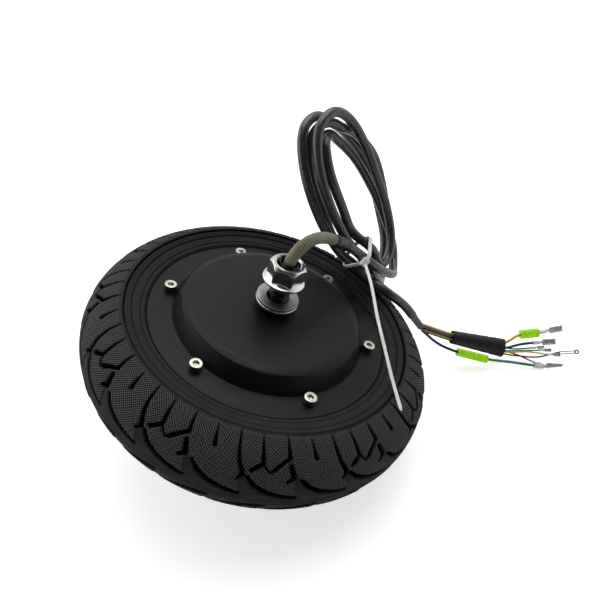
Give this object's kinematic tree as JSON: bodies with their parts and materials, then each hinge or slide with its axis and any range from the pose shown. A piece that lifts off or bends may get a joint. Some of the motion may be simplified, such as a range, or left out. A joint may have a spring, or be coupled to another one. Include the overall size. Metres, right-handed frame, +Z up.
{
  "type": "hub motor wheel",
  "caption": "Brushless hub motor wheel: solid rubber tyre on a black motor housing that turns on a fixed hollow axle with nuts, washers and a coiled, tied motor cable with crimped ends",
  "frame": {"origin": "centre of the wheel: on the spin axis, in the mid-plane of the tyre", "axes": "+Y is the spin axis and points away from the cable side; the cable, its sleeve and the front nut are on -Y; +Z is up with the axle's cable window facing up; +X points towards the side where the wire ends lie"},
  "size_m": [0.3339, 0.1771, 0.2],
  "materials": {
    "tyre_rubber": "matte moulded rubber",
    "cover_paint": "satin black paint on cast aluminium",
    "cast_aluminium": "as cast",
    "bearing_steel": "ground",
    "flux_steel": "turned, lightly oiled",
    "magnet_nickel": "nickel plate",
    "lamination_steel": "stacked sheet, varnished",
    "copper_wire": "enamelled copper",
    "circuit_board": "solder mask",
    "axle_steel": "blackened, oily thread",
    "stainless_screw": "bright stainless",
    "bright_washer": "polished plate",
    "zinc_washer": "zinc plate",
    "chrome_nut": "chrome plate",
    "glass_weave": "woven glass fibre, olive",
    "cable_pvc": "soft PVC",
    "shrink_black": "heat shrink tube",
    "tie_nylon": "natural white nylon",
    "yellow_wire": "silicone insulation",
    "blue_wire": "silicone insulation",
    "green_wire": "silicone insulation",
    "red_wire": "silicone insulation",
    "black_wire": "silicone insulation",
    "tinned_terminal": "tin plate",
    "lime_cover": "translucent moulded PVC"
  },
  "bodies": {
    "axle_assembly": {"axle": "axle_steel", "stator_hub": "cast_aluminium", "stator_core": "lamination_steel", "winding_a": "copper_wire", "winding_b": "copper_wire", "winding_c": "copper_wire", "hall_board": "circuit_board", "front_bearing_inner": "bearing_steel", "rear_bearing_inner": "bearing_steel", "front_washer_inner": "bright_washer", "front_washer_outer": "zinc_washer", "rear_washer_inner": "bright_washer", "rear_washer_outer": "zinc_washer", "fibreglass_sleeve": "glass_weave", "cable_sheath": "cable_pvc", "sheath_collar": "shrink_black", "cable_tie": "tie_nylon", "phase_wire_yellow": "yellow_wire", "phase_wire_blue": "blue_wire", "phase_wire_green": "green_wire", "hall_wire_blue": "blue_wire", "hall_wire_green": "green_wire", "hall_wire_yellow": "yellow_wire", "hall_wire_red": "red_wire", "hall_wire_black": "black_wire", "harness_shrink": "shrink_black", "terminal_cover_yellow": "lime_cover", "terminal_cover_green": "lime_cover", "phase_terminal_yellow": "tinned_terminal", "phase_terminal_blue": "tinned_terminal", "phase_terminal_green": "tinned_terminal", "hall_terminal_blue": "tinned_terminal", "hall_terminal_green": "tinned_terminal", "hall_terminal_yellow": "tinned_terminal", "hall_terminal_red": "tinned_terminal", "hall_terminal_black": "tinned_terminal"},
    "wheel": {"tyre": "tyre_rubber", "rim": "cast_aluminium", "flux_ring": "flux_steel", "magnet_ring": "magnet_nickel", "front_cover": "cover_paint", "rear_cover": "cover_paint", "front_screw_1": "stainless_screw", "front_screw_2": "stainless_screw", "front_screw_3": "stainless_screw", "front_screw_4": "stainless_screw", "front_screw_5": "stainless_screw", "front_screw_6": "stainless_screw", "rear_screw_1": "stainless_screw", "rear_screw_2": "stainless_screw", "rear_screw_3": "stainless_screw", "rear_screw_4": "stainless_screw", "rear_screw_5": "stainless_screw", "rear_screw_6": "stainless_screw", "front_bearing_outer": "bearing_steel", "rear_bearing_outer": "bearing_steel"},
    "front_balls": {"front_bearing_balls": "bearing_steel"},
    "rear_balls": {"rear_bearing_balls": "bearing_steel"},
    "front_nut": {"front_axle_nut": "chrome_nut"},
    "rear_nut": {"rear_axle_nut": "chrome_nut"}
  },
  "joints": [
    {"name": "wheel_spin", "type": "hinge", "parent": "axle_assembly", "child": "wheel", "pos_m": [0, 0, 0], "axis": [0, 1, 0], "continuous": true},
    {"name": "front_cage_spin", "type": "hinge", "parent": "axle_assembly", "child": "front_balls", "pos_m": [0, -0.0216, 0], "axis": [0, 1, 0], "continuous": true},
    {"name": "rear_cage_spin", "type": "hinge", "parent": "axle_assembly", "child": "rear_balls", "pos_m": [0, 0.0216, 0], "axis": [0, 1, 0], "continuous": true},
    {"name": "front_nut_travel", "type": "slide", "parent": "axle_assembly", "child": "front_nut", "axis": [0, 1, 0], "range_m": [0, 0.0108]},
    {"name": "rear_nut_travel", "type": "slide", "parent": "axle_assembly", "child": "rear_nut", "axis": [0, -1, 0], "range_m": [0, 0.0108]}
  ],
  "couplings": [
    {"joint": "front_cage_spin", "follows": "wheel_spin", "ratio": 0.6},
    {"joint": "rear_cage_spin", "follows": "wheel_spin", "ratio": 0.6}
  ]
}
